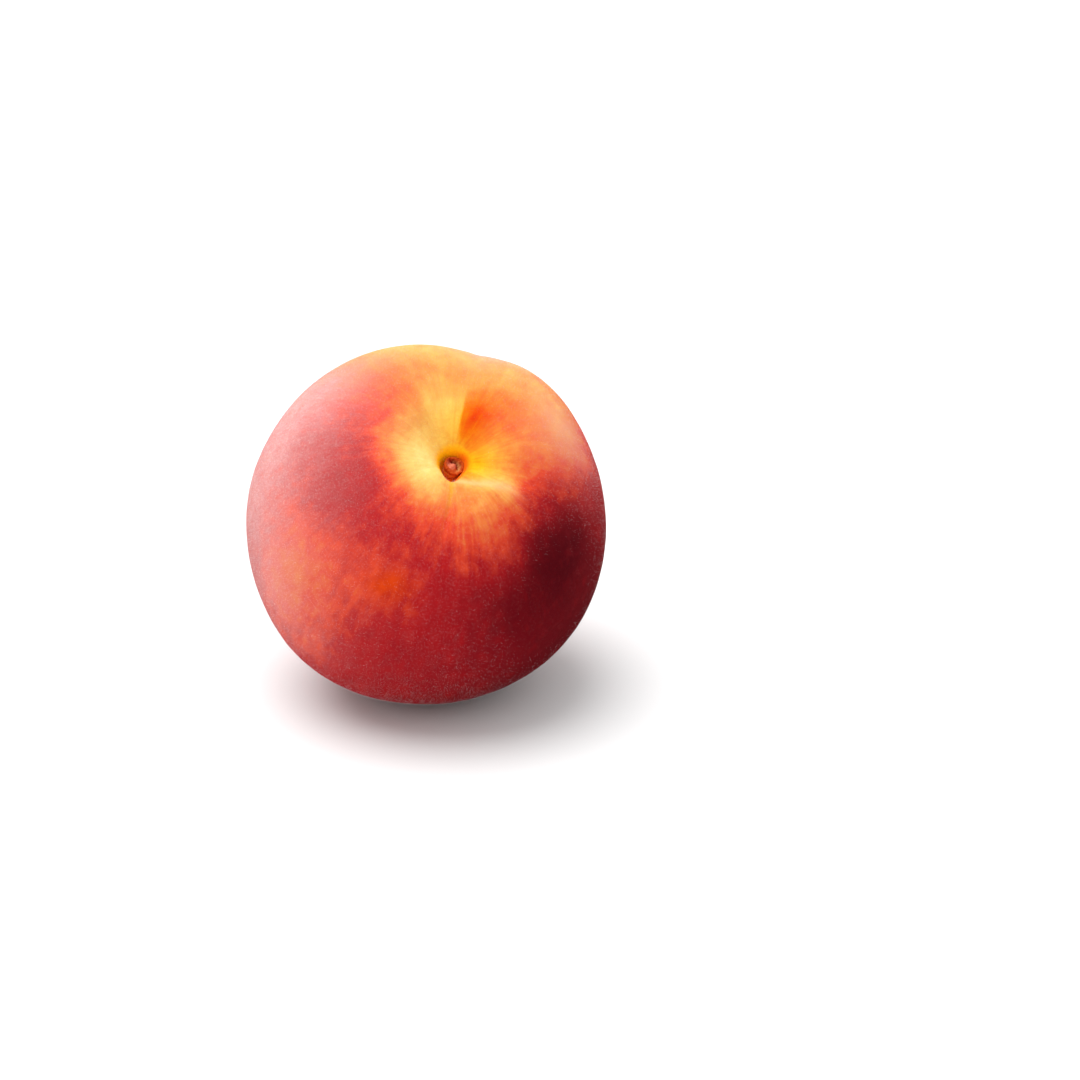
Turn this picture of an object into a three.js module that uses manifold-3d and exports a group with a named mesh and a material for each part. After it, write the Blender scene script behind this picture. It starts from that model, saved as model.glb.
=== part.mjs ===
// A whole ripe peach with the short stub of its stem, lying on its lower flank.
//
// Lengths are in millimetres and angles in degrees.
// Row frame: +Z up, origin at the centre of the small flat spot that the fruit rests on,
// with the stem end leaning towards -Y.
// Fruit frame: +Z out of the stem end along the fruit's own axis, +X towards the suture,
// which is the groove that runs down one side from the stem to the tip.

import * as THREE from "three";
import { mergeVertices } from "three/addons/utils/BufferGeometryUtils.js";
import Module from "manifold-3d";

const rad = THREE.MathUtils.degToRad;

// ---- How the fruit lies ----
const LEAN = 37; // from upright, towards -Y
const HEADING = 20; // turn of the leaning stem end towards +X
const SPIN = 61.5; // turn about the fruit's own axis, which places the suture
const FRUIT_CENTRE = [-0.16, 1.78, 34.6]; // puts the resting spot on z = 0, round the origin

// ---- The body without its hollows ----
const HALF_WIDTH = 37.5; // radius at the widest
const STEM_HALF_HEIGHT = 35.0; // from the widest level up to the stem end
const TIP_HALF_HEIGHT = 35.2; // and down to the tip
const SHOULDER_FULLNESS = 0.1; // share that the shoulders stand out past an ellipse
const TIP_TAPER = 0.1; // share that the lower half draws in
const BEAK = { height: 1.2, radius: 3.2 }; // the small point at the tip

// ---- The hollow at the stem end ----
const FUNNEL = { depth: 10.0, radius: 9.5, power: 1.5 };
const PIT = {
  centre: [0, -0.45], // a little off the fruit's axis
  floor: 22.5, // height of its flat floor over the widest level
  radius: 2.4,
  steepness: 7,
  point: { azimuth: 187, stretch: 0.65, spread: 28 }, // its rim runs out to a point here
};

// ---- Grooves that run from the stem towards the tip ----
// Each follows a meridian, swung aside by its bend, and is the sum of layers. A layer is a dent
// of that depth and half-width, deepest at one polar angle and mostly gone past its reach.
const ALL_THE_WAY = 400; // a reach that no layer fades within
const GROOVES = {
  suture: {
    azimuth: 0,
    bend: { by: 8, at: 16, reach: 20 },
    layers: [
      { depth: 0.4, width: 8.5, at: 90, reach: ALL_THE_WAY }, // broad and shallow
      { depth: 2.0, width: 6.5, at: 22, reach: 26 }, // deeper over the shoulder
      { depth: 0.9, width: 5.0, at: 138, reach: 40 }, // and again towards the tip
      { depth: 0.14, width: 1.4, at: 90, reach: ALL_THE_WAY }, // the line at its foot
    ],
  },
  backLine: {
    azimuth: 194,
    bend: { by: -8, at: 30, reach: 20 },
    layers: [
      { depth: 0.7, width: 4.5, at: 12, reach: 16 },
      { depth: 0.35, width: 0.7, at: 12, reach: 26 },
    ],
  },
  sideFold: {
    azimuth: 264,
    bend: { by: 0, at: 0, reach: 1 },
    layers: [{ depth: 1.7, width: 4.6, at: 17, reach: 12 }],
  },
  sideCrest: {
    azimuth: 248,
    bend: { by: -60, at: 5, reach: 9 },
    layers: [{ depth: -0.8, width: 2.2, at: 15, reach: 12 }], // raised, so below zero
  },
};
const GROOVE_ENDS = { stem: 5, tip: 176 }; // polar angles between which the grooves run

// ---- Unevenness of a grown fruit ----
// Each swell is a soft bump, or a flat where it is negative, centred on a direction.
const SWELLS = [
  { polar: 100, azimuth: 108, reach: 30, height: -0.3 }, // the flatter cheek
  { polar: 110, azimuth: 158, reach: 30, height: 1.4 }, // low on the same side
  { polar: 76, azimuth: 294, reach: 36, height: -0.8 }, // the other cheek
  { polar: 58, azimuth: 338, reach: 20, height: 1.2 }, // the shoulder beside the suture
  { polar: 59, azimuth: 4, reach: 22, height: -0.45 }, // the dip that the suture crosses
  { polar: 84, azimuth: 72, reach: 12, height: -0.45 }, // a small flat over the first cheek
];

// ---- Stem stub ----
const STUB = {
  place: [0.15, -0.45], // beside the fruit's axis
  base: 1.45, // radius of the low collar at its foot
  waist: 1.5,
  top: 1.95,
  height: 2.3,
  lean: 6, // tilt inside the pit
  clearance: 0.45, // gap between its foot and the middle of the pit's floor
  ridges: 7, // bark ridges round it
  ridgeHeight: 0.12,
};

// ---- Fineness of the faceted solids ----
const FRUIT_RINGS = 48;
const FRUIT_SIDES = 72;
const RING_CROWDING = { ends: 0.07, stem: 1.4 }; // towards both ends, and more to the stem end
const SIDE_CROWDING = 0.22; // above 0 the sides crowd towards the suture and the line opposite
const STUB_SIDES = 28;

const bell = (distance, width) => Math.exp(-((distance / width) ** 2));
const angleBetween = (a, b) => THREE.MathUtils.euclideanModulo(a - b + 180, 360) - 180;
const smoothstep = THREE.MathUtils.smoothstep;
const degrees = THREE.MathUtils.radToDeg;

/** Half outline of the body: distance from the axis and height, at a polar angle in radians. */
function bodyOutline(polar) {
  const c = Math.cos(polar);
  const stemSide = c > 0;
  const width = 1 + c * c * (stemSide ? SHOULDER_FULLNESS : -TIP_TAPER);
  const radius = HALF_WIDTH * Math.sin(polar) * width;
  let height = c * (stemSide ? STEM_HALF_HEIGHT : TIP_HALF_HEIGHT);
  if (!stemSide) height -= BEAK.height * bell(radius, BEAK.radius);
  return { radius, height };
}

/** Height of the stem end with its hollow: a funnel, and the flat-floored pit at its foot. */
function hollowedHeight(bodyHeight, radius, azimuth) {
  const { depth, power } = FUNNEL;
  const funnel = bodyHeight - depth * Math.exp(-((radius / FUNNEL.radius) ** power));
  const at = new THREE.Vector2(radius * Math.cos(azimuth), radius * Math.sin(azimuth));
  const fromPit = at.sub(new THREE.Vector2(...PIT.centre));
  const pointTurn = angleBetween(degrees(fromPit.angle()), PIT.point.azimuth);
  const rim = PIT.radius * (1 + PIT.point.stretch * bell(pointTurn, PIT.point.spread));
  const pitShare = 1 / (1 + (fromPit.length() / rim) ** PIT.steepness);
  return THREE.MathUtils.lerp(funnel, PIT.floor, pitShare);
}

/** Azimuth in radians that a groove passes through at a polar angle. */
function grooveAzimuth(groove, polar) {
  const { by, at, reach } = groove.bend;
  return rad(groove.azimuth + by * bell(degrees(polar) - at, reach));
}

/** Depth of one groove at a point of the body. */
function grooveDepth(groove, polar, radius, azimuth) {
  const angle = degrees(polar);
  const turn = azimuth - grooveAzimuth(groove, polar);
  const aside = radius * Math.sin(turn);
  const side = smoothstep(Math.cos(turn), -0.2, 0.5);
  const ends =
    smoothstep(angle, GROOVE_ENDS.stem - 3, GROOVE_ENDS.stem + 9) *
    (1 - smoothstep(angle, GROOVE_ENDS.tip - 14, GROOVE_ENDS.tip + 4));
  const dents = groove.layers.map(
    (layer) => layer.depth * bell(angle - layer.at, layer.reach) * bell(aside, layer.width),
  );
  return side * ends * dents.reduce((sum, dent) => sum + dent, 0);
}

/** Height of all the swells in a direction given by polar angle and azimuth. */
function swelling(polar, azimuth) {
  const direction = new THREE.Vector3().setFromSphericalCoords(1, polar, azimuth);
  return SWELLS.reduce((sum, swell) => {
    const centre = new THREE.Vector3().setFromSphericalCoords(1, rad(swell.polar), rad(swell.azimuth));
    return sum + swell.height * bell(direction.angleTo(centre), rad(swell.reach));
  }, 0);
}

/** The point of the skin at a polar angle and azimuth, in the fruit frame. */
function skinPoint(polar, azimuth) {
  const body = bodyOutline(polar);
  const radius = body.radius;
  const height = Math.cos(polar) > 0 ? hollowedHeight(body.height, radius, azimuth) : body.height;
  const point = new THREE.Vector3(radius * Math.cos(azimuth), radius * Math.sin(azimuth), height);
  const dents = Object.values(GROOVES).map((groove) => grooveDepth(groove, polar, radius, azimuth));
  const relief = dents.reduce((sum, dent) => sum - dent, swelling(polar, azimuth) * Math.sin(polar));
  return point.addScaledVector(point.clone().normalize(), relief);
}

/** A closed geometry's position-only copy, with shared corners merged. */
function weld(geometry) {
  const bare = geometry.clone();
  bare.deleteAttribute("normal");
  bare.deleteAttribute("uv");
  return mergeVertices(bare, 1e-4);
}

/** Azimuth of the skin for a corner of the ball, so that a line of corners follows the suture. */
function crowdedAzimuth(polar, turn) {
  const swing = grooveAzimuth(GROOVES.suture, polar) * Math.cos(turn / 2) ** 4;
  return turn - SIDE_CROWDING * Math.sin(2 * turn) + swing;
}

/** The closed skin: a lathed ball whose corners are moved out to the skin. */
function fruitSkin() {
  const meridian = [];
  for (let i = 0; i <= FRUIT_RINGS; i++) {
    const share = i / FRUIT_RINGS;
    const drawn = share - RING_CROWDING.ends * Math.sin(2 * Math.PI * share);
    const polar = Math.PI * drawn ** RING_CROWDING.stem;
    meridian.push(new THREE.Vector2(Math.sin(polar), Math.cos(polar)));
  }
  meridian[0].x = 0;
  meridian[FRUIT_RINGS].x = 0;
  const ball = weld(new THREE.LatheGeometry(meridian.reverse(), FRUIT_SIDES).rotateX(Math.PI / 2));
  const at = ball.getAttribute("position");
  const corner = new THREE.Vector3();
  for (let i = 0; i < at.count; i++) {
    corner.fromBufferAttribute(at, i);
    const polar = Math.acos(THREE.MathUtils.clamp(corner.z, -1, 1));
    const skin = skinPoint(polar, crowdedAzimuth(polar, Math.atan2(corner.y, corner.x)));
    at.setXYZ(i, skin.x, skin.y, skin.z);
  }
  return ball;
}

/** The stub of the stem: a ridged peg with a hollow, broken top, standing on z = 0. */
function stubGeometry() {
  const outline = [
    [0, 0],
    [STUB.base * 0.8, 0],
    [STUB.base, 0.3],
    [STUB.waist, 0.8],
    [STUB.top, STUB.height - 0.5],
    [STUB.top * 0.86, STUB.height],
    [STUB.top * 0.55, STUB.height - 0.35],
    [0, STUB.height - 0.7],
  ].map(([radius, height]) => new THREE.Vector2(radius, height));
  const peg = weld(new THREE.LatheGeometry(outline, STUB_SIDES).rotateX(Math.PI / 2));
  const at = peg.getAttribute("position");
  for (let i = 0; i < at.count; i++) {
    const radius = Math.hypot(at.getX(i), at.getY(i));
    const azimuth = Math.atan2(at.getY(i), at.getX(i));
    const ridge = STUB.ridgeHeight * Math.cos(STUB.ridges * azimuth);
    const grown = radius > 0.5 ? (radius + ridge) / radius : 1;
    const broken = at.getZ(i) > STUB.height - 1 ? 0.25 * Math.cos(2 * azimuth + 1) * radius : 0;
    at.setXYZ(i, at.getX(i) * grown, at.getY(i) * grown, at.getZ(i) + broken);
  }
  return peg;
}

const wasm = await Module();
wasm.setup();

/** A welded geometry as a solid. */
function toSolid(geometry) {
  const mesh = new wasm.Mesh({
    numProp: 3,
    vertProperties: new Float32Array(geometry.getAttribute("position").array),
    triVerts: new Uint32Array(geometry.index.array),
  });
  return new wasm.Manifold(mesh);
}

/** A solid as a geometry. */
function toGeometry(solid) {
  const mesh = solid.getMesh();
  const geometry = new THREE.BufferGeometry();
  geometry.setAttribute("position", new THREE.BufferAttribute(mesh.vertProperties, 3));
  geometry.setIndex(new THREE.BufferAttribute(mesh.triVerts, 1));
  geometry.computeVertexNormals();
  return geometry;
}

/** The fruit frame's place in the row frame. */
function layingPlace() {
  const axisZ = new THREE.Vector3(0, 0, 1);
  const turn = new THREE.Quaternion()
    .setFromAxisAngle(axisZ, rad(HEADING))
    .multiply(new THREE.Quaternion().setFromAxisAngle(new THREE.Vector3(1, 0, 0), rad(LEAN)))
    .multiply(new THREE.Quaternion().setFromAxisAngle(axisZ, rad(SPIN)));
  return new THREE.Matrix4().compose(new THREE.Vector3(...FRUIT_CENTRE), turn, new THREE.Vector3(1, 1, 1));
}

/** The fruit, with the flat spot that it rests on cut at z = 0 of the row frame. */
function fruitGeometry(place) {
  const side = 4 * HALF_WIDTH;
  const below = new THREE.BoxGeometry(side, side, side).translate(0, 0, -side / 2);
  const cutter = weld(below.applyMatrix4(place.clone().invert()));
  return toGeometry(toSolid(fruitSkin()).subtract(toSolid(cutter)));
}

const place = layingPlace();

const fruit = new THREE.Mesh(
  fruitGeometry(place),
  new THREE.MeshStandardMaterial({ color: 0xe0664a, roughness: 0.72, metalness: 0 }),
);
fruit.name = "peach_fruit";

const stub = new THREE.Mesh(
  stubGeometry(),
  new THREE.MeshStandardMaterial({ color: 0x9a6240, roughness: 0.85, metalness: 0 }),
);
stub.name = "stem_stub";
stub.position.set(...STUB.place, skinPoint(0, 0).z + STUB.clearance);
stub.rotation.x = rad(STUB.lean);

const peach = new THREE.Group();
peach.applyMatrix4(place);
peach.add(fruit, stub);

const row = new THREE.Group();
row.name = "peach";
row.add(peach);

export default row;
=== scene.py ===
"""A whole ripe peach on a pale floor: blushed skin with its down, and the stub of the stem.

Lengths are in metres in the row frame, which has +Z up and its origin at the centre of the flat
spot that the fruit rests on. The fruit frame has +Z out of the stem end and +X towards the
suture. A direction is given there by its polar angle from the stem end and its azimuth from the
suture, both in degrees. A finish reads places on the fruit in that frame, in millimetres.
"""

import math

import bmesh
import bpy
from mathutils import Matrix, Vector, noise


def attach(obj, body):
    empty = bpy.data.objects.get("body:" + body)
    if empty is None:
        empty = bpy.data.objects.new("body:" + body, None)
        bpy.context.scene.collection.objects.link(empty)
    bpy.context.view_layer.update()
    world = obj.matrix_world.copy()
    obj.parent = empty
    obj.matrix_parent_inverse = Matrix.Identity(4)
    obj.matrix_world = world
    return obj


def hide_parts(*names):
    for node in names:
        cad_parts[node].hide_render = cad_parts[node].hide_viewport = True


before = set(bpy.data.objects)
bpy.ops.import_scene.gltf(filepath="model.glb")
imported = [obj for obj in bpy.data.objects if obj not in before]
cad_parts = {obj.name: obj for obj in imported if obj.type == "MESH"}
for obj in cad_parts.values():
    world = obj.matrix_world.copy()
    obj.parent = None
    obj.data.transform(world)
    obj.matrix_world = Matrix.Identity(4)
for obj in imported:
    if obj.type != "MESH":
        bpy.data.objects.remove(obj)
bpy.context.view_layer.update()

MM = 0.001
AXIS_GUARD = 0.01  # added under the root of a distance in millimetres, to keep it off zero

# ---- Nodes ----


def add_node(tree, kind, settings=None, sockets=None):
    """Adds one node: its settings first, then the values or links of its sockets."""
    node = tree.nodes.new(kind)
    for name, value in (settings or {}).items():
        if name == "stops":
            set_stops(node.color_ramp, value)
        else:
            setattr(node, name, value)
    for key, value in (sockets or {}).items():
        if isinstance(value, Wire):
            value = value.socket
        if isinstance(value, bpy.types.NodeSocket):
            tree.links.new(value, node.inputs[key])
        else:
            node.inputs[key].default_value = value
    return node


def set_stops(color_ramp, stops):
    while len(color_ramp.elements) < len(stops):
        color_ramp.elements.new(1)
    for element, (place, color) in zip(color_ramp.elements, stops):
        element.position = place
        element.color = (*color, 1)


def math_node(tree, operation, *values):
    """A Math node on numbers and wires."""
    node = add_node(tree, "ShaderNodeMath", {"operation": operation}, dict(enumerate(values)))
    return Wire(tree, node.outputs[0])


class Wire:
    """A number on its way between two nodes. Arithmetic with it adds Math nodes."""

    def __init__(self, tree, socket):
        self.tree = tree
        self.socket = socket

    def maths(self, operation, *others):
        return math_node(self.tree, operation, self, *others)

    def __add__(self, other):
        return self.maths("ADD", other)

    __radd__ = __add__

    def __sub__(self, other):
        return self.maths("SUBTRACT", other)

    def __rsub__(self, other):
        return math_node(self.tree, "SUBTRACT", other, self)

    def __mul__(self, other):
        return self.maths("MULTIPLY", other)

    __rmul__ = __mul__

    def __truediv__(self, other):
        return self.maths("DIVIDE", other)

    def bell(self, width):
        """1 where the number is 0, fading over a width to both sides."""
        share = self / width
        return (share * share * -1).maths("EXPONENT")

    def step(self, low, high):
        """A smooth rise from 0 at low to 1 at high."""
        node = add_node(
            self.tree,
            "ShaderNodeMapRange",
            {"interpolation_type": "SMOOTHSTEP"},
            {"Value": self, "From Min": low, "From Max": high},
        )
        return Wire(self.tree, node.outputs[0])


class Net:
    """A node tree, and the patterns that its nodes make."""

    def __init__(self, tree):
        self.tree = tree

    def node(self, kind, settings=None, sockets=None, out=0):
        return Wire(self.tree, add_node(self.tree, kind, settings, sockets).outputs[out])

    def parts(self, vector):
        node = add_node(self.tree, "ShaderNodeSeparateXYZ", sockets={0: vector})
        return [Wire(self.tree, output) for output in node.outputs]

    def join(self, x, y, z):
        return self.node("ShaderNodeCombineXYZ", sockets={0: x, 1: y, 2: z})

    def vector(self, operation, *values, out=0):
        return self.node("ShaderNodeVectorMath", {"operation": operation}, dict(enumerate(values)), out)

    def scaled(self, vector, factor):
        return self.node("ShaderNodeVectorMath", {"operation": "SCALE"}, {0: vector, "Scale": factor})

    def grain(self, vector, scale, detail=2.0, rough=0.5):
        """Soft noise of either sign, rarely beyond 0.3."""
        return self.cloud(vector, scale, detail, rough) - 0.5

    def drift(self, vector, scale, detail=2.0, rough=0.5):
        """A vector that wanders, rarely beyond 0.3 along any axis."""
        return self.vector("SUBTRACT", self.cloud(vector, scale, detail, rough, 1), (0.5, 0.5, 0.5))

    def cloud(self, vector, scale, detail, rough, out=0):
        sockets = {"Vector": vector, "Scale": scale, "Detail": detail, "Roughness": rough}
        return self.node("ShaderNodeTexNoise", {"noise_dimensions": "3D"}, sockets, out)

    def off_axis(self, x, y):
        """Distance from the axis, kept off zero so that it can be divided by."""
        return (x * x + y * y + AXIS_GUARD).maths("SQRT")

    def off_centre(self, x, y, centre):
        """Distance from the line through a centre along the axis. The centre is in metres."""
        x, y = x - centre.x / MM, y - centre.y / MM
        return (x * x + y * y).maths("SQRT")

    def patch(self, heading, centre, reach):
        """1 where a heading is at the centre, fading over a reach in degrees."""
        nearness = self.vector("DOT_PRODUCT", heading, centre, out=1)
        return ((nearness - 1) * (2 / math.radians(reach) ** 2)).maths("EXPONENT")

    def patches(self, heading, table, turn):
        """The sum of soft round patches. The turn takes the fruit frame to the heading's own."""
        total = 0
        for polar, azimuth, reach, amount in table.values():
            total = total + self.patch(heading, turn @ direction(polar, azimuth), reach) * amount
        return total


class Finish(Net):
    """A material being made."""

    def __init__(self, name):
        self.material = bpy.data.materials.new(name)
        self.material.use_nodes = True
        super().__init__(self.material.node_tree)
        self.shader = self.tree.nodes["Principled BSDF"]

    def mix(self, share, first, second, blend="MIX"):
        settings = {"data_type": "RGBA", "blend_type": blend}
        return self.node("ShaderNodeMix", settings, {0: share, 6: first, 7: second}, out=2)

    def ramp(self, amount, stops):
        return self.node("ShaderNodeValToRGB", {"stops": stops}, {0: amount})

    def bump(self, height, depth, normal=None):
        sockets = {"Height": height, "Distance": depth, "Strength": 1.0}
        if normal is not None:
            sockets["Normal"] = normal
        return self.node("ShaderNodeBump", sockets=sockets)

    def feed(self, **values):
        """Sets or links the shader's sockets, named with _ for a space."""
        for name, value in values.items():
            socket = self.shader.inputs[name.replace("_", " ")]
            if isinstance(value, Wire):
                self.tree.links.new(value.socket, socket)
            else:
                socket.default_value = value


def wear(piece, finish):
    """Gives a piece its finish."""
    piece.data.materials.append(finish.material)


# ---- How the fruit lies ----
LEAN = 37  # from upright, towards -Y
HEADING = 20  # turn of the leaning stem end towards +X
SPIN = 61.5  # turn about the fruit's own axis, which places the suture
FRUIT_CENTRE = Vector((-0.16, 1.78, 34.6)) * MM

# ---- The body without its hollows ----
HALF_WIDTH = 37.5 * MM
STEM_HALF_HEIGHT = 35.0 * MM
TIP_HALF_HEIGHT = 35.2 * MM
SHOULDER_FULLNESS = 0.1
TIP_TAPER = 0.1
BEAK_HEIGHT, BEAK_RADIUS = 1.2 * MM, 3.2 * MM

# ---- The hollow at the stem end ----
FUNNEL_DEPTH, FUNNEL_RADIUS, FUNNEL_POWER = 10.0 * MM, 9.5 * MM, 1.5
PIT_CENTRE = Vector((0, -0.45)) * MM
PIT_FLOOR, PIT_RADIUS, PIT_STEEPNESS = 22.5 * MM, 2.4 * MM, 7
PIT_POINT = {"azimuth": 187, "stretch": 0.65, "spread": 28}

# ---- Grooves ----
# A layer is (depth, half-width, polar angle where it is deepest, reach in degrees).
# A bend is (degrees that the groove swings aside, polar angle where it does, reach in degrees).
ALL_THE_WAY = 400
GROOVES = {
    "suture": {
        "azimuth": 0,
        "bend": (8, 16, 20),
        "layers": [
            (0.4 * MM, 8.5 * MM, 90, ALL_THE_WAY),
            (2.0 * MM, 6.5 * MM, 22, 26),
            (0.9 * MM, 5.0 * MM, 138, 40),
            (0.14 * MM, 1.4 * MM, 90, ALL_THE_WAY),
        ],
    },
    "back_line": {
        "azimuth": 194,
        "bend": (-8, 30, 20),
        "layers": [(0.7 * MM, 4.5 * MM, 12, 16), (0.35 * MM, 0.7 * MM, 12, 26)],
    },
    "side_fold": {
        "azimuth": 264,
        "bend": (0, 0, 1),
        "layers": [(1.7 * MM, 4.6 * MM, 17, 12)],
    },
    "side_crest": {
        "azimuth": 248,
        "bend": (-60, 5, 9),
        "layers": [(-0.8 * MM, 2.2 * MM, 15, 12)],
    },
}
GROOVE_START, GROOVE_STOP = (2, 14), (162, 180)  # polar angles over which they set in and fade
GROOVE_SIDE = (-0.2, 0.5)  # cosines of the turn away from a groove over which it sets in

# ---- Swells: polar angle, azimuth, reach and height ----
SWELLS = [
    (100, 108, 30, -0.3 * MM),
    (110, 158, 30, 1.4 * MM),
    (76, 294, 36, -0.8 * MM),
    (58, 338, 20, 1.2 * MM),
    (59, 4, 22, -0.45 * MM),
    (84, 72, 12, -0.45 * MM),
]


def bell(distance, width):
    return math.exp(-((distance / width) ** 2))


def smoothstep(value, low, high):
    share = min(max((value - low) / (high - low), 0), 1)
    return share * share * (3 - 2 * share)


def between(turn, other):
    """The turn from one azimuth to another, in degrees."""
    return (turn - other + 180) % 360 - 180


def direction(polar, azimuth):
    """The unit vector of a direction given in degrees, in the fruit frame."""
    polar, azimuth = math.radians(polar), math.radians(azimuth)
    around = Vector((math.cos(azimuth), math.sin(azimuth), 0)) * math.sin(polar)
    return around + Vector((0, 0, math.cos(polar)))


def laying_place():
    """The fruit frame's place in the row frame."""
    turn = Matrix.Rotation(math.radians(HEADING), 4, "Z")
    turn @= Matrix.Rotation(math.radians(LEAN), 4, "X")
    turn @= Matrix.Rotation(math.radians(SPIN), 4, "Z")
    return Matrix.Translation(FRUIT_CENTRE) @ turn


LAID = laying_place()
SWELL_CENTRES = [(direction(polar, azimuth), reach, height) for polar, azimuth, reach, height in SWELLS]


def body_outline(polar):
    """Distance from the axis and height of the body, at a polar angle in radians."""
    c = math.cos(polar)
    width = 1 + c * c * (SHOULDER_FULLNESS if c > 0 else -TIP_TAPER)
    radius = HALF_WIDTH * math.sin(polar) * width
    if c > 0:
        return radius, c * STEM_HALF_HEIGHT
    return radius, c * TIP_HALF_HEIGHT - BEAK_HEIGHT * bell(radius, BEAK_RADIUS)


def hollowed_height(body_height, radius, azimuth):
    """Height of the stem end with its funnel and the flat-floored pit."""
    funnel = body_height - FUNNEL_DEPTH * math.exp(-((radius / FUNNEL_RADIUS) ** FUNNEL_POWER))
    across = Vector((math.cos(azimuth), math.sin(azimuth))) * radius - PIT_CENTRE
    turn = between(math.degrees(math.atan2(across.y, across.x)), PIT_POINT["azimuth"])
    rim = PIT_RADIUS * (1 + PIT_POINT["stretch"] * bell(turn, PIT_POINT["spread"]))
    share = 1 / (1 + (across.length / rim) ** PIT_STEEPNESS)
    return funnel + (PIT_FLOOR - funnel) * share


def groove_azimuth(groove, polar):
    by, at, reach = groove["bend"]
    return math.radians(groove["azimuth"] + by * bell(math.degrees(polar) - at, reach))


def groove_depth(groove, polar, radius, azimuth):
    angle = math.degrees(polar)
    turn = azimuth - groove_azimuth(groove, polar)
    aside = radius * math.sin(turn)
    side = smoothstep(math.cos(turn), *GROOVE_SIDE)
    ends = smoothstep(angle, *GROOVE_START) * (1 - smoothstep(angle, *GROOVE_STOP))
    dent = sum(
        depth * bell(angle - at, reach) * bell(aside, width)
        for depth, width, at, reach in groove["layers"]
    )
    return side * ends * dent


def swelling(heading):
    total = 0
    for centre, reach, height in SWELL_CENTRES:
        total += height * bell(math.degrees(heading.angle(centre)), reach)
    return total


def skin_point(polar, azimuth):
    """The point of the skin at a polar angle and azimuth in radians, in the fruit frame."""
    radius, height = body_outline(polar)
    if math.cos(polar) > 0:
        height = hollowed_height(height, radius, azimuth)
    heading = direction(math.degrees(polar), math.degrees(azimuth))
    point = Vector((radius * math.cos(azimuth), radius * math.sin(azimuth), height))
    relief = swelling(heading) * math.sin(polar)
    relief -= sum(groove_depth(groove, polar, radius, azimuth) for groove in GROOVES.values())
    return point + point.normalized() * relief


# ---- Fine form of the skin ----
SKIN_CUTS = 127  # cuts along each edge of the cube that the skin is drawn from
STEM_CROWDING = 0.6  # share by which the mesh tightens at the stem end
UNEVENNESS = [(0.14 * MM, 11 * MM), (0.045 * MM, 3.2 * MM)]  # height and size of soft lumps
# Round the stem hollow. The drift is how far they change along a radian.
WRINKLES = {"height": 0.02 * MM, "count": 46, "polar": 17, "reach": 12, "drift": 0.6}
UV_HALF = 0.49  # half-width of a cube's face in its cell of the map, which leaves a gap


def unevenness(place):
    return sum(height * noise.noise(place / size) for height, size in UNEVENNESS)


def wrinkle(polar, azimuth):
    """Fine furrows that run down into the stem hollow."""
    around = Vector((math.cos(azimuth), math.sin(azimuth), polar * WRINKLES["drift"]))
    around = around * WRINKLES["count"] / math.tau
    fade = bell(math.degrees(polar) - WRINKLES["polar"], WRINKLES["reach"])
    return WRINKLES["height"] * fade * noise.noise(around)


def on_skin(corner):
    """Where a corner of the cube goes on the skin, in the row frame.

    The mesh is crowded towards the stem end, and swung so that a row of edges follows the suture.
    """
    across = Vector(math.tan(c * math.pi / 4) for c in corner).normalized()
    polar = math.acos(min(max(across.z, -1), 1))
    azimuth = math.atan2(across.y, across.x)
    polar -= STEM_CROWDING * math.sin(polar) * (1 + math.cos(polar)) / 2
    azimuth += groove_azimuth(GROOVES["suture"], polar) * math.cos(azimuth / 2) ** 4
    point = skin_point(polar, azimuth)
    out = point.normalized()
    point += out * (unevenness(point) + wrinkle(polar, azimuth))
    laid = LAID @ point
    laid.z = max(laid.z, 0)
    return laid


def new_piece(name, bm, smooth=True):
    """A mesh object at the origin that holds the bmesh, which it frees."""
    bm.normal_update()
    bmesh.ops.recalc_face_normals(bm, faces=bm.faces)
    mesh = bpy.data.meshes.new(name)
    bm.to_mesh(mesh)
    bm.free()
    if smooth:
        mesh.shade_smooth()
    piece = bpy.data.objects.new(name, mesh)
    bpy.context.scene.collection.objects.link(piece)
    return piece


def unfold_cube(bm):
    """A UV map with the six faces of a cube from -1 to 1, three to a row, none of them mirrored."""
    layer = bm.loops.layers.uv.new("OFBake")
    bm.normal_update()
    for face in bm.faces:
        axis = max(range(3), key=lambda i: abs(face.normal[i]))
        positive = face.normal[axis] > 0
        flip = -1 if positive == (axis == 1) else 1
        for loop in face.loops:
            u, v = (c for i, c in enumerate(loop.vert.co) if i != axis)
            across, up = axis + 0.5 + UV_HALF * flip * u, positive + 0.5 + UV_HALF * v
            loop[layer].uv = (across / 3, up / 2)


def make_skin():
    bm = bmesh.new()
    bmesh.ops.create_cube(bm, size=2)
    bmesh.ops.subdivide_edges(bm, edges=bm.edges, cuts=SKIN_CUTS, use_grid_fill=True)
    unfold_cube(bm)
    for vert in bm.verts:
        vert.co = on_skin(vert.co)
    return new_piece("peach_skin", bm)


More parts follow.
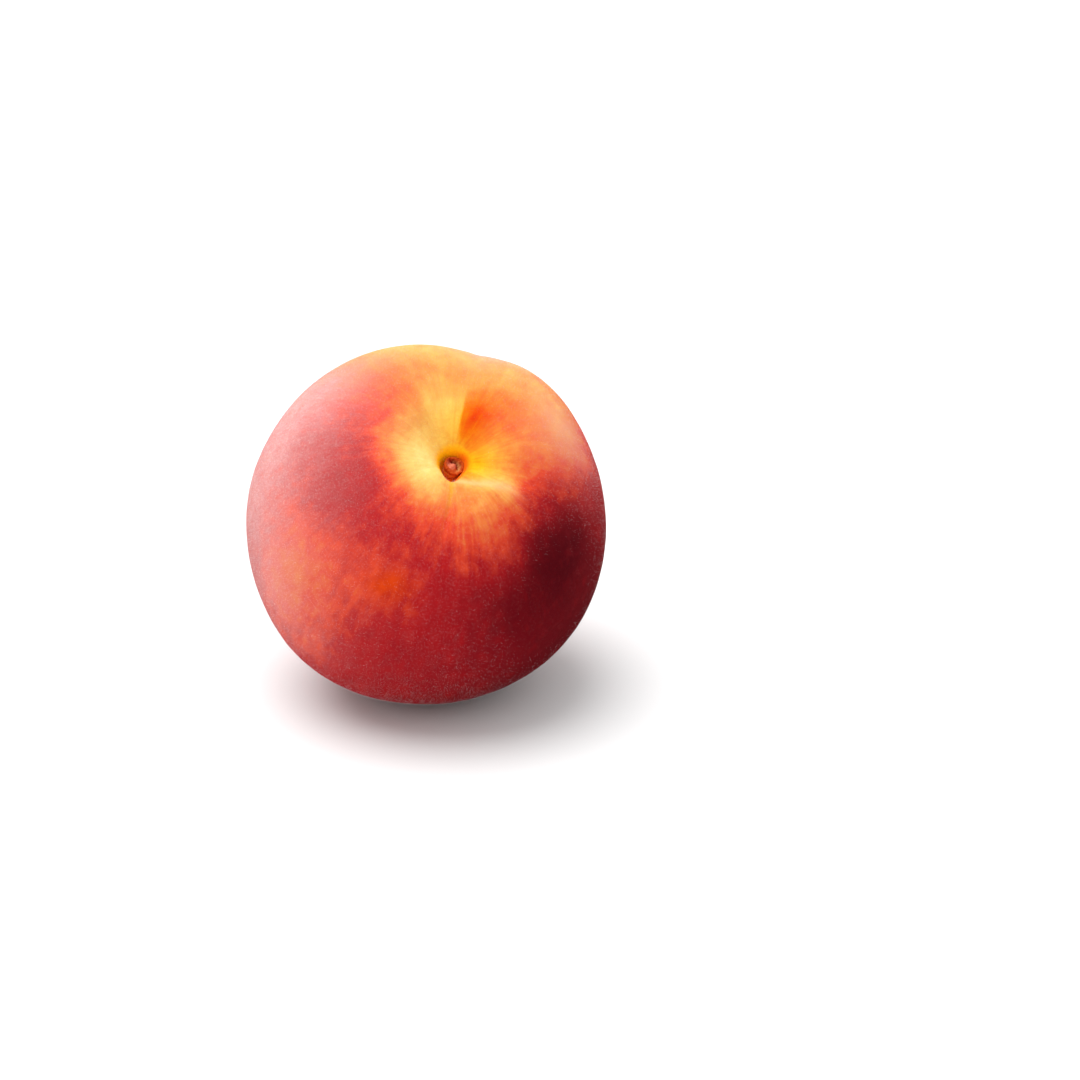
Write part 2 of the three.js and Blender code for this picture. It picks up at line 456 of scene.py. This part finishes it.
# ---- Stub of the stem ----
# The outline runs from the middle of the foot, up the side and over the broken end, as
# (distance from the stub's axis, height above its foot).
STUB_LEAN = 6
STUB_FOOT = Vector((0.15, -0.45, 21.0)) * MM
STUB_OUTLINE = [
    (0, 0),
    (1.75, 0),
    (1.95, 0.25),
    (1.95, 0.6),
    (1.85, 1.1),
    (1.8, 1.8),
    (1.84, 2.5),
    (1.96, 3.1),
    (2.1, 3.6),
    (2.12, 3.9),
    (2.02, 4.1),
    (1.8, 4.15),
    (1.45, 4.02),
    (1.1, 3.9),
    (0.8, 3.95),
    (0.5, 4.05),
    (0.2, 4.1),
    (0, 4.1),
]
STUB_STEPS, STUB_CUTS = 72, 3  # steps round the stub, and cuts in each edge of its outline
STUB_WELD = 0.002 * MM
BARK_RIDGES = [(7, 0.12 * MM), (19, 0.06 * MM)]  # number round the stub, and height
RIDGE_RUN = 9 * MM  # length over which a ridge changes
BARK_GRAIN_HEIGHT, BARK_GRAIN_SIZE = 0.05 * MM, 0.28 * MM
BARK_SIDE = (0.3 * MM, 1.0 * MM)  # distances from the stub's axis over which the bark sets in
# The broken end is rough, and torn out in an arc round its middle.
TEAR_RISE = (3.2 * MM, 4.1 * MM)  # heights over which the end sets in
TEAR_ROUGHNESS = [(0.4 * MM, 0.9 * MM), (0.16 * MM, 0.35 * MM)]  # height and size
TEAR_AZIMUTH, TEAR_SPREAD = -20, 85
TEAR_RADIUS, TEAR_WIDTH, TEAR_DEPTH = 1.05 * MM, 0.45 * MM, 1.3 * MM


def make_stub():
    bm = bmesh.new()
    rim = [bm.verts.new((radius * MM, 0, height * MM)) for radius, height in STUB_OUTLINE]
    edges = [bm.edges.new(pair) for pair in zip(rim, rim[1:])]
    bmesh.ops.subdivide_edges(bm, edges=edges, cuts=STUB_CUTS)
    bmesh.ops.spin(
        bm,
        geom=bm.verts[:] + bm.edges[:],
        cent=(0, 0, 0),
        axis=(0, 0, 1),
        angle=math.tau,
        steps=STUB_STEPS,
        use_merge=True,
    )
    bmesh.ops.remove_doubles(bm, verts=bm.verts, dist=STUB_WELD)
    for vert in bm.verts:
        vert.co = on_stub(vert.co)
    return new_piece("stem_end", bm)


def bark_relief(place, radius, turn):
    """How far the bark stands out, with ridges along the stub and a fine grain."""
    around = Vector((math.cos(turn), math.sin(turn), place.z / RIDGE_RUN))
    ridges = sum(height * noise.noise(around * count / 2) for count, height in BARK_RIDGES)
    grain = BARK_GRAIN_HEIGHT * noise.noise(place / BARK_GRAIN_SIZE)
    return (ridges + grain) * smoothstep(radius, *BARK_SIDE)


def torn_height(place, radius, turn):
    """How far the broken end is raised or torn out."""
    rough = sum(height * noise.noise(place / size) for height, size in TEAR_ROUGHNESS)
    arc = bell(radius - TEAR_RADIUS, TEAR_WIDTH)
    arc *= bell(between(math.degrees(turn), TEAR_AZIMUTH), TEAR_SPREAD)
    return (rough - TEAR_DEPTH * arc) * smoothstep(place.z, *TEAR_RISE)


def on_stub(place):
    """The rough bark and the torn end, moved on to the fruit, in the row frame."""
    radius = math.hypot(place.x, place.y)
    turn = math.atan2(place.y, place.x)
    if radius > 0:
        out = Vector((place.x, place.y, 0)) / radius
        place = place + out * bark_relief(place, radius, turn)
    place = place + Vector((0, 0, torn_height(place, radius, turn)))
    lean = Matrix.Rotation(math.radians(STUB_LEAN), 4, "X")
    return LAID @ (lean @ place + STUB_FOOT)


# ---- Down ----
# Each coat is (name, length, base radius, number of hairs, seed).
COATS = [
    ("down_long", 0.34 * MM, 0.0085 * MM, 47000, 3),
    ("down_middle", 0.28 * MM, 0.0085 * MM, 47000, 11),
    ("down_short", 0.22 * MM, 0.009 * MM, 47000, 23),
    ("down_fine", 0.18 * MM, 0.009 * MM, 47000, 41),
]
DOWN_SINK = 0.04 * MM
DOWN_CLEAR = 1.4 * MM  # height above the floor where the down begins
DOWN_TUFT = 5 * MM  # size of a tuft that leans one way
DOWN_LEAN, DOWN_STRAY = 0.4, 0.25
DOWN_SIZES = (0.6, 1.25)  # least and greatest scale of a hair in its coat
HAIR_SIDES, HAIR_WELD = 3, 0.1  # the weld is a share of the base radius
DOWN_COLOR = (0.46, 0.14, 0.1, 1)
# Where the down is thinner: polar angle, azimuth, reach in degrees and the share that is missing.
BARE_PATCHES = {
    "dark_side": (62, 238, 32, 0.95),
    "stem_hollow": (8, 330, 20, 1.0),
    "low_flecks": (68, 150, 30, 0.55),
    "dark_flank": (100, 235, 50, 0.4),
}


def make_hair(length, radius):
    """One tapered hair that stands on its origin."""
    bm = bmesh.new()
    bmesh.ops.create_cone(
        bm,
        cap_ends=True,
        segments=HAIR_SIDES,
        radius1=radius,
        radius2=0,
        depth=length,
    )
    bmesh.ops.translate(bm, verts=bm.verts, vec=(0, 0, length / 2 - DOWN_SINK))
    bmesh.ops.remove_doubles(bm, verts=bm.verts, dist=radius * HAIR_WELD)
    return new_piece("hair", bm, smooth=False)


def sowing(hair, density, seed):
    """Geometry nodes that stand hairs on a skin, combed into soft tufts."""
    net = Net(bpy.data.node_groups.new("sowing", "GeometryNodeTree"))
    net.tree.interface.new_socket("Skin", in_out="INPUT", socket_type="NodeSocketGeometry")
    net.tree.interface.new_socket("Down", in_out="OUTPUT", socket_type="NodeSocketGeometry")
    place = net.node("GeometryNodeInputPosition")
    height = net.parts(place)[2]
    above = net.node("FunctionNodeCompare", {"operation": "GREATER_THAN"}, {0: height, 1: DOWN_CLEAR})
    heading = net.vector("NORMALIZE", net.vector("SUBTRACT", place, FRUIT_CENTRE))
    thin = net.patches(heading, BARE_PATCHES, LAID.to_3x3())
    points = add_node(
        net.tree,
        "GeometryNodeDistributePointsOnFaces",
        sockets={
            "Mesh": net.node("NodeGroupInput"),
            "Selection": above,
            "Density": (1 - thin).maths("MAXIMUM", 0.0) * density,
            "Seed": seed,
        },
    )
    comb = net.scaled(net.drift(place, 1 / DOWN_TUFT), DOWN_LEAN)
    stray = net.node(
        "FunctionNodeRandomValue",
        {"data_type": "FLOAT_VECTOR"},
        {0: (-DOWN_STRAY,) * 3, 1: (DOWN_STRAY,) * 3, "Seed": seed + 1},
    )
    lie = net.vector("ADD", net.vector("ADD", comb, stray), points.outputs["Normal"])
    least, most = DOWN_SIZES
    size = net.node("FunctionNodeRandomValue", sockets={2: least, 3: most, "Seed": seed + 2}, out=1)
    standing = net.node(
        "GeometryNodeInstanceOnPoints",
        sockets={
            "Points": points.outputs["Points"],
            "Instance": net.node("GeometryNodeObjectInfo", sockets={"Object": hair}, out="Geometry"),
            "Rotation": net.node("FunctionNodeAlignRotationToVector", {"axis": "Z"}, {"Vector": lie}),
            "Scale": size,
        },
    )
    down = net.node("GeometryNodeRealizeInstances", sockets={0: standing})
    add_node(net.tree, "NodeGroupOutput", sockets={"Down": down})
    return net.tree


def make_coat(skin, name, length, radius, count, seed):
    """A coat of down as one mesh: a copy of the skin that the sowing turns into hairs."""
    hair = make_hair(length, radius)
    area = sum(face.area for face in skin.data.polygons)
    coat = bpy.data.objects.new(name, skin.data.copy())
    coat.data.materials.clear()
    bpy.context.scene.collection.objects.link(coat)
    sower = coat.modifiers.new("sowing", "NODES")
    sower.node_group = sowing(hair, count / area, seed)
    bpy.context.view_layer.update()
    grown = bpy.data.meshes.new_from_object(coat.evaluated_get(bpy.context.evaluated_depsgraph_get()))
    coat.modifiers.remove(sower)
    coat.data = grown
    coat.data.name = name
    bpy.data.objects.remove(hair)
    return coat


# ---- Finish of the skin ----
# A patch is (polar angle, azimuth, reach in degrees, amount). An amount below 0 takes away.
BLUSH_BASE = 0.9
BLUSH = {
    "crown": (55, 30, 40, -0.55),
    "suture_glow": (20, 20, 10, -0.35),
    "left_of_stem": (12, 110, 15, -0.65),
    "below_left": (20, 165, 12, -0.3),
    "below_stem": (30, 210, 15, -0.3),
    "crest": (22, 240, 10, -0.25),
    "right_of_stem": (12, 275, 12, -0.4),
    "right_shoulder": (45, 320, 28, -0.4),
    "coral": (40, 285, 15, -0.15),
    "right_edge": (60, 285, 15, 0.1),
    "red_heart": (40, 120, 15, 0.1),
    "low_flecks": (65, 135, 25, -0.3),
    "tail": (90, 145, 20, -0.2),
    "low_middle": (55, 170, 15, -0.2),
    "far_side": (100, 5, 35, -0.4),
    "back_left": (120, 70, 25, -0.1),
    "right_back": (95, 300, 20, -0.1),
    "tip": (170, 60, 30, -0.25),
}
# Partly deep maroon blush on the side that faced the sun, partly painted shade darkening that side.
MAROON_AND_SHADE = {
    "dark_side": (52, 245, 12, 2.5),
    "dark_foot": (60, 220, 12, 0.8),
    "dark_cheek": (85, 235, 35, 0.9),
    "dark_flank": (85, 255, 30, 1.1),
    "dark_tip": (110, 255, 35, 0.6),
    "dark_below": (130, 245, 40, 0.6),
}
# Pale down that is too fine to see as hairs, partly a painted sheen where the fuzz catches the light.
BLOOM_AND_SHEEN = {
    "left_cheek": (80, 100, 32, 0.6),
    "tail_bloom": (90, 135, 20, 0.2),
    "upper_bloom": (60, 70, 20, 0.45),
    "right_bloom": (45, 305, 15, 0.25),
    "crown_bloom": (65, 355, 15, 0.6),
    "far_cheek": (115, 80, 35, -0.15),
    "far_bloom": (105, 350, 45, 0.1),
}
# Where the blush breaks up into flecks.
FLECKS = {
    "low_left": (64, 148, 22, 0.16),
    "near": (40, 205, 14, 0.15),
    "far": (80, 10, 40, 0.35),
    "back": (95, 290, 40, 0.35),
    "back_left": (108, 60, 36, 0.3),
}
# Where rays and mottling are fainter.
CALM = {
    "crown_calm": (40, 15, 26, 0.7),
    "shoulder_calm": (40, 310, 22, 0.65),
    "left_calm": (46, 60, 16, 0.5),
    "hollow_calm": (12, 110, 16, 0.35),
    "low_calm": (66, 140, 26, 0.6),
    "spot_calm": (51, 169, 9, 0.4),
    "near_calm": (34, 208, 18, 0.35),
}
# Painted shade: extra blush beyond the suture, inside the stem hollow, on the shaded far wall of the
# groove.
SUTURE_SHADE = {"suture_shade": (20, 0, 8, 0.2)}
# Where the skin is a fuller yellow.
JUICE = {
    "above_stem": (15, 350, 15, 0.7),
    "right_of_stem": (10, 265, 10, 0.8),
    "low_spot": (55, 170, 6, 1.0),
}
SKIN_STOPS = [
    (0.0, (0.8, 0.72, 0.27)),
    (0.15, (0.78, 0.5, 0.14)),
    (0.3, (0.7, 0.33, 0.08)),
    (0.45, (0.64, 0.17, 0.04)),
    (0.6, (0.6, 0.05, 0.02)),
    (0.75, (0.38, 0.01, 0.012)),
    (1.0, (0.26, 0.005, 0.01)),
]
JUICE_TINT = (1.0, 0.9, 0.05, 1)
# The colour of the dark side: partly maroon blush, partly painted shade.
MAROON_AND_SHADE_COLOR = (0.048, 0.0015, 0.004, 1)
# A pale pink, partly the colour of the down and partly a painted sheen.
BLOOM_AND_SHEEN_COLOR = (0.7, 0.4, 0.38, 1)

# A noise is (scale, detail, roughness). Rays and strokes run from the stem to the tip, and their
# drift is how far they change along a radian.
RAGGED_NOISE = (0.09, 4.0, 0.6)
RAY_NOISES = [((9.0, 3.0, 0.6), 0.5), ((26.0, 2.0, 0.6), 0.35)]  # each with its share
RAY_DRIFT, STROKE_DRIFT = 0.16, 0.4
RAY_SWELL_NOISE, RAY_SWELL = (0.08, 1.0), 2.4  # what strengthens and weakens the rays
STROKE_NOISE = (24.0, 3.0, 0.7)
MOTTLE_NOISE = (0.35, 4.0, 0.58)
BLOTCH_NOISE = (0.2, 2.0, 0.5)
SPECKLE_NOISE = (2.6, 2.0, 0.7)
LUMP_NOISE = (1.3, 3.0, 0.6)
LUMP_DEPTH, SPECKLE_DEPTH = 0.12 * MM, 0.03 * MM
SKIN_ROUGHNESS, SKIN_ROUGHNESS_SWING = 0.62, 0.25

# How far the edges of patches wander in the stem hollow, and how much more outside it.
RAGGED_IN_HOLLOW, RAGGED_OUTSIDE = 3.0, 7.0
HOLLOW_EDGE = (0.1, 0.9)  # polar angles in radians

# Shares in which the patterns are blended for each layer of colour.
BLUSH_BLEND = {"rays": 0.5, "mottle": 0.42, "strokes": 0.14}
FLECK_BLEND = {"blotches": 0.8, "mottle": 0.35, "strokes": 0.15}
MAROON_SHADE_EDGE_BLEND = {"mottle": 1.1, "strokes": 0.6, "blotches": 0.6}
MAROON_SHADE_THIN_BLEND = {"mottle": 1.0, "blotches": 0.5, "strokes": 0.3}
BLOOM_AND_SHEEN_BLEND = {"mottle": 0.6, "strokes": 0.6, "speckle": 1.0}
DUST_BLEND = {"speckle": 1.0, "strokes": 0.4}

PATTERNED_BLUSH = (1.25, 0.75)  # blush over which the pattern sets in
# The suture shade is painted shade on the far wall of the suture groove, made deeper and fuller orange.
SUTURE_SHADE_EDGE, SUTURE_SHADE_WANDER = (-0.4, -1.3), 0.8  # distance from the suture, and how far it wanders
SUTURE_SHADE_JUICE = 3.0  # juice for each unit of the flank's blush
MAROON_SHADE_THIN_RISE, MAROON_SHADE_THIN_SHARE = (-0.1, 0.3), 0.2
DUST_RISE, DUST_SHARE = (-0.02, 0.25), 0.08
DUSTY_BLUSH, DUSTY_JUICE = (0.1, 0.6), (1.0, 0.2)  # ranges over which the dust sets in

# Lines drawn along grooves: groove, how far it wanders and its half-width in millimetres, the
# ranges of polar angle in radians over which it sets in, strength and colour.
LINES = [
    # The pale line on the side crest is a painted highlight along the crest.
    ("side_crest", 2.0, 1.5, [(0.1, 0.2), (0.56, 0.3)], 0.5, (0.76, 0.5, 0.23, 1)),
    ("back_line", 0.6, 0.5, [(0.1, 0.16), (0.5, 0.22)], 0.7, (0.6, 0.33, 0.02, 1)),
    ("suture", 0.7, 0.5, [(0.7, 1.2)], 0.3, (0.4, 0.04, 0.016, 1)),
]

# Colours in the pit, the wall and then a ring of painted shade round the foot of the stem: centre, how far
# the edge wanders, the range of distance and the ranges of height over which it sets in, and colour.
STEM_HALF = (5.0, 12.0)
SHADE_RING_CENTRE = PIT_CENTRE + Vector((-0.5, -1.4)) * MM
PIT_TINTS_AND_SHADE = [
    (PIT_CENTRE, 1.2, (4.4, 2.8), [STEM_HALF], (0.95, 0.46, 0.004, 1)),
    # The ring: painted shade, darker red deep in the pit round the stem's foot.
    (SHADE_RING_CENTRE, 1.0, (4.3, 2.5), [(27.8, 25.4), STEM_HALF], (0.78, 0.14, 0.006, 1)),
]


def fruit_place(finish):
    """The surface point in the fruit frame, in millimetres."""
    return finish.node(
        "ShaderNodeMapping",
        {"vector_type": "TEXTURE"},
        {
            "Vector": finish.node("ShaderNodeTexCoord", out="Object"),
            "Location": FRUIT_CENTRE,
            "Rotation": LAID.to_euler(),
            "Scale": (MM, MM, MM),
        },
    )


class SkinFinish(Finish):
    """The finish of the skin, and the patterns that its layers of colour share."""

    def __init__(self):
        super().__init__("peach_skin")
        self.place = fruit_place(self)
        self.x, self.y, self.z = self.parts(self.place)
        self.around = self.off_axis(self.x, self.y)
        self.polar = self.around.maths("ARCTAN2", self.z)
        self.azimuth = self.y.maths("ARCTAN2", self.x)
        self.mottle = self.grain(self.place, *MOTTLE_NOISE)
        self.speckle = self.grain(self.place, *SPECKLE_NOISE)
        self.patterns = {
            "rays": self.rays(),
            "strokes": self.grain(self.meridian(STROKE_DRIFT), *STROKE_NOISE),
            "mottle": self.mottle,
            "blotches": self.grain(self.place, *BLOTCH_NOISE),
            "speckle": self.speckle,
        }
        self.heading = self.ragged_heading()

    def meridian(self, drift):
        """A place that stays nearly the same along each meridian."""
        return self.join(self.x / self.around, self.y / self.around, self.polar * drift)

    def rays(self):
        """Streaks that run from the stem to the tip, stronger in some places than in others."""
        meridian = self.meridian(RAY_DRIFT)
        rays = sum(self.grain(meridian, *values) * share for values, share in RAY_NOISES)
        return rays * (self.grain(self.place, *RAY_SWELL_NOISE) * RAY_SWELL + 1)

    def ragged_heading(self):
        """The direction of the surface point, which wanders so that patches get ragged edges."""
        reach = self.polar.step(*HOLLOW_EDGE) * RAGGED_OUTSIDE + RAGGED_IN_HOLLOW
        wander = self.scaled(self.drift(self.place, *RAGGED_NOISE), reach)
        return self.vector("NORMALIZE", self.vector("ADD", self.place, wander))

    def zones(self, table):
        """The sum of the table's patches, with ragged edges."""
        return self.patches(self.heading, table, Matrix.Identity(3))

    def blend(self, shares):
        """The patterns added up in the shares that are given by name."""
        return sum(self.patterns[name] * share for name, share in shares.items())

    def groove_aside(self, groove):
        """How far a point is to the left of a groove's line, and whether it is on that side."""
        by, at, reach = groove["bend"]
        swing = (self.polar - math.radians(at)).bell(math.radians(reach)) * math.radians(by)
        turn = self.azimuth - swing - math.radians(groove["azimuth"])
        return self.around * turn.maths("SINE"), turn.maths("COSINE").step(*GROOVE_SIDE)

    def suture_shade(self):
        """Painted shade: extra blush on the far flank of the stem hollow, cut off at the suture, where the
        groove's wall is in shade.
        """
        aside, side = self.groove_aside(GROOVES["suture"])
        beyond = (aside + self.mottle * SUTURE_SHADE_WANDER).step(*SUTURE_SHADE_EDGE) * side
        return beyond * self.zones(SUTURE_SHADE)

    def blush(self, suture_shade):
        """How red the skin is, as its ramp reads it: zones, and the pattern over them."""
        blush = self.zones(BLUSH) + BLUSH_BASE + suture_shade
        flecks = self.blend(FLECK_BLEND) * self.zones(FLECKS)
        pattern = self.blend(BLUSH_BLEND) * (1 - self.zones(CALM)) + flecks
        return blush + pattern * blush.step(*PATTERNED_BLUSH)

    def lined(self, color):
        """The colour with the lines along the grooves; the pale line on the side crest is a painted
        highlight.
        """
        for name, wander, width, ranges, strength, tint in LINES:
            aside, side = self.groove_aside(GROOVES[name])
            line = (aside + self.mottle * wander).bell(width) * side
            for rise in ranges:
                line = line * self.polar.step(*rise)
            color = self.mix(line * strength, color, tint)
        return color

    def maroon_and_shade(self):
        """The share of deep maroon: partly blush on the side that faced the sun, partly painted shade
        darkening that side.
        """
        depth = self.zones(MAROON_AND_SHADE) * (1 + self.blend(MAROON_SHADE_EDGE_BLEND))
        full = 1 - (depth * -1).maths("EXPONENT")
        return full * (1 - self.blend(MAROON_SHADE_THIN_BLEND).step(*MAROON_SHADE_THIN_RISE) * MAROON_SHADE_THIN_SHARE)

    def bloom_and_sheen(self, blush, juice, maroon_and_shade):
        """The share of pale down too fine to see as hairs, partly a painted sheen, with a fine dust of it.
        """
        bloom_and_sheen = self.zones(BLOOM_AND_SHEEN) * (1 + self.blend(BLOOM_AND_SHEEN_BLEND))
        dust = self.blend(DUST_BLEND).step(*DUST_RISE) * DUST_SHARE * (1 - maroon_and_shade)
        return bloom_and_sheen + dust * blush.step(*DUSTY_BLUSH) * juice.step(*DUSTY_JUICE)

    def in_pit(self, color):
        """The colour with the wall of the pit and a dark ring of painted shade round the foot of the stem.
        """
        for centre, wander, rise, heights, tint in PIT_TINTS_AND_SHADE:
            share = (self.off_centre(self.x, self.y, centre) + self.mottle * wander).step(*rise)
            for height in heights:
                share = share * self.z.step(*height)
            color = self.mix(share, color, tint)
        return color


def skin_finish():
    finish = SkinFinish()
    suture_shade = finish.suture_shade()
    blush = finish.blush(suture_shade)
    color = finish.ramp(blush, SKIN_STOPS)
    # The juice here also carries the painted shade of the suture's far wall.
    juice = finish.zones(JUICE) + suture_shade * SUTURE_SHADE_JUICE
    color = finish.mix(juice, color, finish.mix(1.0, color, JUICE_TINT, "MULTIPLY"))
    color = finish.lined(color)
    # Partly maroon blush, partly painted shade on the dark side.
    maroon_and_shade = finish.maroon_and_shade()
    color = finish.mix(maroon_and_shade, color, MAROON_AND_SHADE_COLOR)
    # Pale down mixed in, partly a painted sheen.
    color = finish.mix(finish.bloom_and_sheen(blush, juice, maroon_and_shade), color, BLOOM_AND_SHEEN_COLOR)
    lumps = finish.bump(finish.grain(finish.place, *LUMP_NOISE), LUMP_DEPTH)
    finish.feed(
        Base_Color=finish.in_pit(color),
        Roughness=SKIN_ROUGHNESS + finish.mottle * SKIN_ROUGHNESS_SWING,
        Normal=finish.bump(finish.speckle, SPECKLE_DEPTH, lumps),
        Subsurface_Weight=0.1,
        Subsurface_Radius=(1.0, 0.35, 0.15),
        Subsurface_Scale=0.002,
        Specular_IOR_Level=0.0,
        Sheen_Weight=0.01,
        Sheen_Roughness=0.5,
        Sheen_Tint=(1.0, 0.8, 0.72, 1),
    )
    return finish


# ---- Finish of the stub ----
BARK_STOPS = [(0.25, (0.55, 0.12, 0.03)), (0.5, (0.85, 0.36, 0.1)), (0.75, (0.95, 0.55, 0.25))]
RIM_STOPS = [(0.3, (0.28, 0.022, 0.003)), (0.6, (0.5, 0.075, 0.01))]
HEART_STOPS = [(0.3, (0.5, 0.1, 0.05)), (0.6, (0.68, 0.2, 0.11))]
FIBRE_NOISE, FIBRE_RUN = (2.2, 4.0, 0.65), 0.4  # the run draws the fibres out along the stub
FIBRE_DEPTH = 0.1 * MM
BARK_ROUGHNESS, BARK_ROUGHNESS_SWING = 0.75, 0.3
END_RISE = (2.9, 3.8)  # heights over which the bark gives way to the broken end
KNOB_CENTRE, KNOB_EDGE = Vector((0.1, 0.1)) * MM, (1.25, 0.8)  # the pale middle of the end
# Painted shade, near-black red, in the torn arc of the broken end.
TEAR_SHADE_COLOR = (0.2, 0.004, 0.002, 1)
TEAR_SHADE_WIDTH, TEAR_SHADE_WANDER, TEAR_SHADE_SHARE = 0.5, 0.5, 0.95
TEAR_SHADE_TURN, TEAR_SHADE_RISE = (-0.4, 0.5), (1.4, 2.2)  # cosines, and heights


def bark_finish():
    finish = Finish("stem_bark")
    place = finish.vector("SUBTRACT", fruit_place(finish), STUB_FOOT / MM)
    x, y, z = finish.parts(place)
    fibres = finish.grain(finish.join(x, y, z * FIBRE_RUN), *FIBRE_NOISE)
    bark, rim, heart = (finish.ramp(fibres + 0.5, stops) for stops in (BARK_STOPS, RIM_STOPS, HEART_STOPS))

    # The broken end, with its darker rim, and painted shade in the tear in it.
    knob = (finish.off_centre(x, y, KNOB_CENTRE) + fibres).step(*KNOB_EDGE)
    color = finish.mix(z.step(*END_RISE), bark, finish.mix(knob, rim, heart))
    turn = y.maths("ARCTAN2", x) - math.radians(TEAR_AZIMUTH)
    arc = (finish.off_axis(x, y) + fibres * TEAR_SHADE_WANDER - TEAR_RADIUS / MM).bell(TEAR_SHADE_WIDTH)
    arc = arc * turn.maths("COSINE").step(*TEAR_SHADE_TURN) * z.step(*TEAR_SHADE_RISE)
    color = finish.mix(arc * TEAR_SHADE_SHARE, color, TEAR_SHADE_COLOR)
    finish.feed(
        Base_Color=color,
        Roughness=BARK_ROUGHNESS + fibres * BARK_ROUGHNESS_SWING,
        Specular_IOR_Level=0.05,
        Normal=finish.bump(fibres, FIBRE_DEPTH),
    )
    return finish


def down_finish(name, color):
    finish = Finish(name)
    finish.feed(Base_Color=color, Roughness=0.8, Specular_IOR_Level=0.0)
    return finish


# ---- The peach ----
skin = make_skin()
wear(skin, skin_finish())
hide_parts("peach_fruit")
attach(skin, "root")

stub = make_stub()
wear(stub, bark_finish())
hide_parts("stem_stub")
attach(stub, "root")

down = down_finish("down", DOWN_COLOR)
for coat_values in COATS:
    coat = make_coat(skin, *coat_values)
    wear(coat, down)
    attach(coat, "root")

# ---- Floor, light and camera ----
FLOOR_RADIUS, FLOOR_SEGMENTS = 6, 96
FLOOR_COLOR = (0.76, 0.76, 0.76, 1)
WORLD_COLOR, WORLD_STRENGTH = (1, 1, 1, 1), 1.0
LAMP_HEADING, LAMP_DISTANCE = Vector((-0.3, 0.1, 1.0)), 0.5
LAMP_ENERGY, LAMP_ANGLE = 2.88, 60  # the angle is how wide the lamp looks, for soft shadows
CAMERA_ELEVATION = math.radians(25)
CAMERA_DISTANCE, CAMERA_LENS = 0.9, 145.6
AIM_RIGHT, AIM_DOWN = 23.28 * MM, 2.97 * MM  # the camera's aim, off the fruit's centre


def add_floor():
    bm = bmesh.new()
    bmesh.ops.create_circle(bm, cap_ends=True, segments=FLOOR_SEGMENTS, radius=FLOOR_RADIUS)
    floor = new_piece("floor", bm)
    finish = Finish("floor")
    finish.feed(Base_Color=FLOOR_COLOR, Roughness=0.9)
    floor.data.materials.append(finish.material)


def add_world():
    world = bpy.data.worlds.new("studio")
    world.use_nodes = True
    background = world.node_tree.nodes["Background"]
    background.inputs["Color"].default_value = WORLD_COLOR
    background.inputs["Strength"].default_value = WORLD_STRENGTH
    bpy.context.scene.world = world
    bpy.context.scene.view_settings.view_transform = "Standard"


def add_lamp():
    """One broad lamp that shines on the fruit from above."""
    lamp = bpy.data.lights.new("key", "SUN")
    lamp.energy = LAMP_ENERGY
    lamp.angle = math.radians(LAMP_ANGLE)
    holder = bpy.data.objects.new("key", lamp)
    holder.location = FRUIT_CENTRE + LAMP_HEADING.normalized() * LAMP_DISTANCE
    holder.rotation_euler = LAMP_HEADING.to_track_quat("Z", "Y").to_euler()
    bpy.context.scene.collection.objects.link(holder)


def add_camera():
    out = Vector((0, -math.cos(CAMERA_ELEVATION), math.sin(CAMERA_ELEVATION)))
    up = Vector((0, math.sin(CAMERA_ELEVATION), math.cos(CAMERA_ELEVATION)))
    aim = FRUIT_CENTRE + Vector((AIM_RIGHT, 0, 0)) - AIM_DOWN * up
    camera = bpy.data.objects.new("camera", bpy.data.cameras.new("camera"))
    camera.data.lens = CAMERA_LENS
    camera.location = aim + out * CAMERA_DISTANCE
    camera.rotation_euler = (math.pi / 2 - CAMERA_ELEVATION, 0, 0)
    bpy.context.scene.collection.objects.link(camera)
    bpy.context.scene.camera = camera


add_floor()
add_world()
add_lamp()
add_camera()
